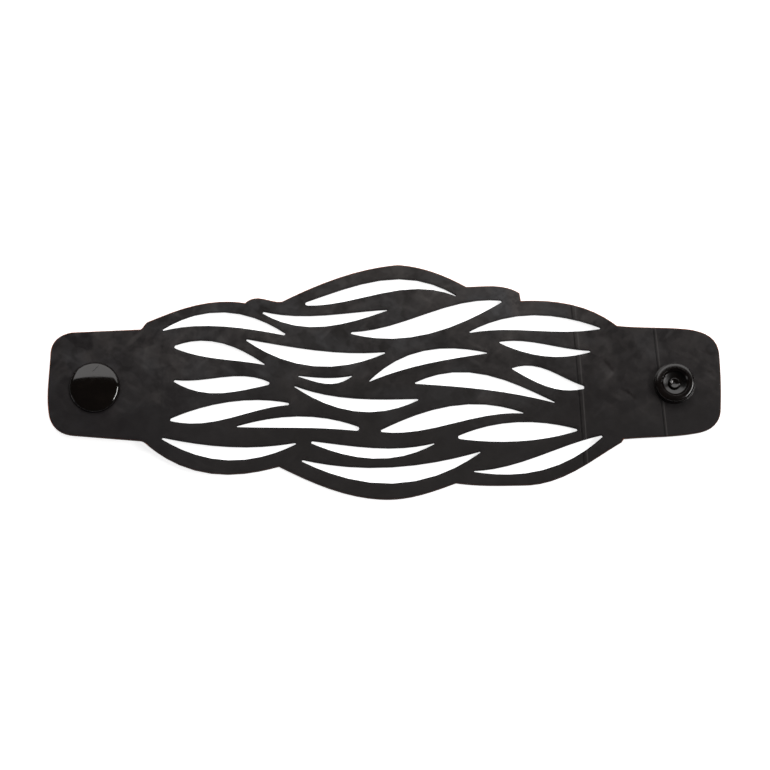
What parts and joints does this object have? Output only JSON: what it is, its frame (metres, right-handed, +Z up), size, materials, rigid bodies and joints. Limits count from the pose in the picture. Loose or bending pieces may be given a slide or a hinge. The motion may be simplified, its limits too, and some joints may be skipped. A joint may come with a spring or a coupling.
{
  "type": "open rubber cuff bracelet with snap fasteners",
  "caption": "Wide cuff bracelet cut from thin rubber sheet, pierced with leaf-shaped slits, lying open and flat, with a snap fastener at each end.",
  "frame": {"origin": "middle of the open bracelet's plan box, on the surface that it lies on", "axes": "+X along the strap from the capped end to the socket end, +Y across it, +Z up out of the face that is worn outwards"},
  "size_m": [0.19, 0.0676, 0.007],
  "materials": {
    "rubber_sheet": "dull black inner tube rubber with a cloudy, faintly crinkled skin",
    "cap_plastic": "polished black moulded plastic",
    "snap_plastic": "glossy black moulded plastic"
  },
  "bodies": {
    "root": {"strap": "rubber_sheet", "front_cap": "cap_plastic", "back_cap": "cap_plastic", "stud": "snap_plastic", "socket": "snap_plastic"}
  },
  "joints": []
}
